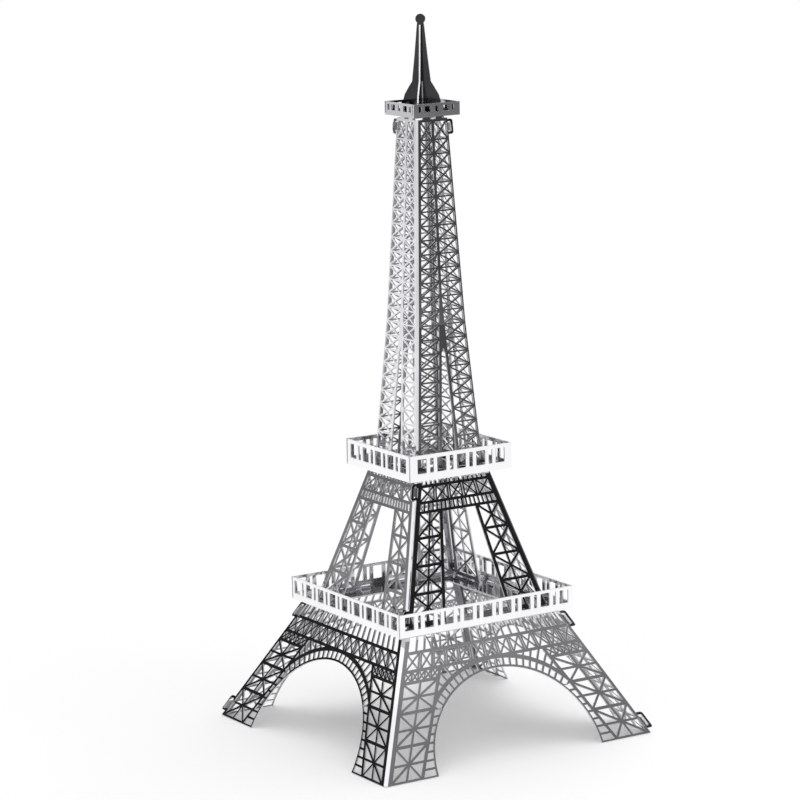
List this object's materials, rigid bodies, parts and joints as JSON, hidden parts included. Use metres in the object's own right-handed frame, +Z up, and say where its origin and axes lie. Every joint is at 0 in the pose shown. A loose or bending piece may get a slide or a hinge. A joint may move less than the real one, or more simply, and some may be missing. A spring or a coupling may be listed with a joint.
{
  "type": "miniature landmark model",
  "caption": "Desk-size iron lattice tower folded from thin bright steel sheet, with arched base, pierced railings and a crossed-plate spire.",
  "frame": {"origin": "centre of the square footprint, on the surface that the tower stands on", "axes": "+Z up along the tower; the lower and upper frames' outer sheets face -X and -Y, the middle frame's outer sheet faces +X and -Y"},
  "size_m": [0.0556, 0.0556, 0.1249],
  "materials": {
    "frame_steel": "mirror-bright rolled steel sheet",
    "platform_steel": "mirror-bright rolled steel sheet",
    "spire_steel": "mirror-bright rolled steel sheet, blackened"
  },
  "bodies": {
    "root": {"lower_frame_front": "frame_steel", "lower_frame_back": "frame_steel", "first_platform": "platform_steel", "middle_frame_right": "frame_steel", "middle_frame_left": "frame_steel", "second_platform": "platform_steel", "upper_frame_front": "frame_steel", "upper_frame_back": "frame_steel", "top_gallery": "platform_steel", "spire_plate_wide": "spire_steel", "spire_plate_cross": "spire_steel"}
  },
  "joints": []
}
